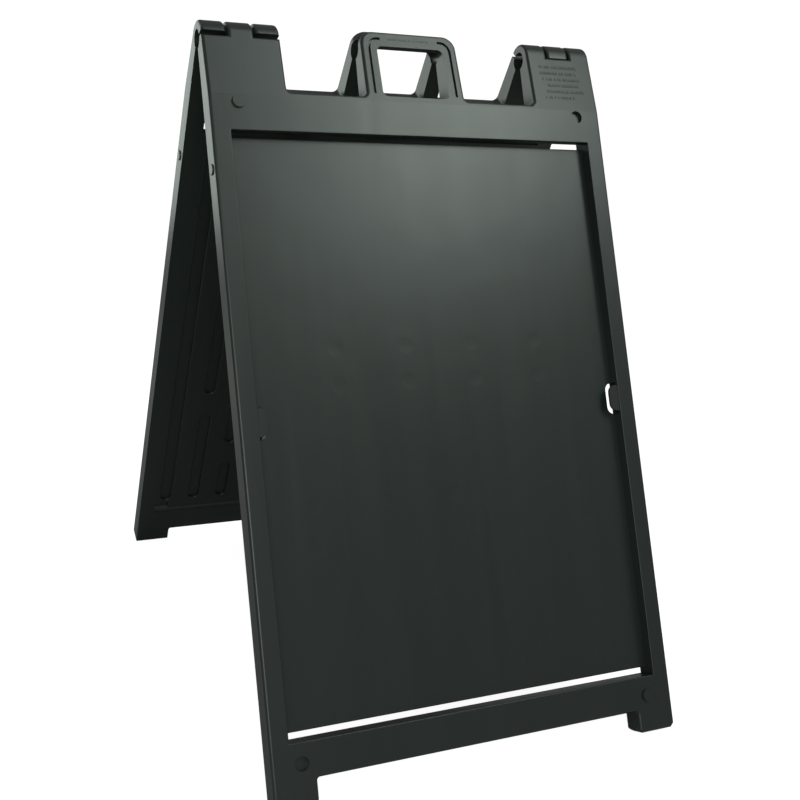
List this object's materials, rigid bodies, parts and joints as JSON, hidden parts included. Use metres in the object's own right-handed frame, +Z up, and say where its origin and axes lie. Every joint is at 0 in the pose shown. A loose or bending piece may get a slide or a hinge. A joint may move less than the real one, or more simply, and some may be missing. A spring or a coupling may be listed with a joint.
{
  "type": "sandwich board",
  "caption": "Folding A-frame sandwich board of two hollow plastic halves with recessed sign panels, interlocking hinge posts and a carrying handle",
  "frame": {"origin": "centre of the footprint, on the ground", "axes": "+Z up; front half leans towards -Y; hinge axis along X"},
  "size_m": [0.68, 0.9896, 1.0506],
  "materials": {
    "moulded_plastic": "blow-moulded black HDPE, satin",
    "plug_plastic": "moulded black LDPE",
    "pin_steel": "zinc-plated steel rod"
  },
  "bodies": {
    "front_half": {"front_frame": "moulded_plastic", "right_hinge_pin": "pin_steel", "front_left_plug": "plug_plastic", "front_right_plug": "plug_plastic"},
    "rear_half": {"rear_frame": "moulded_plastic", "left_hinge_pin": "pin_steel", "rear_left_plug": "plug_plastic", "rear_right_plug": "plug_plastic"}
  },
  "joints": [
    {"name": "fold_hinge", "type": "hinge", "parent": "front_half", "child": "rear_half", "pos_m": [0, 0, 1.02171], "axis": [1, 0, 0], "range_deg": [-48.5, 0]}
  ]
}
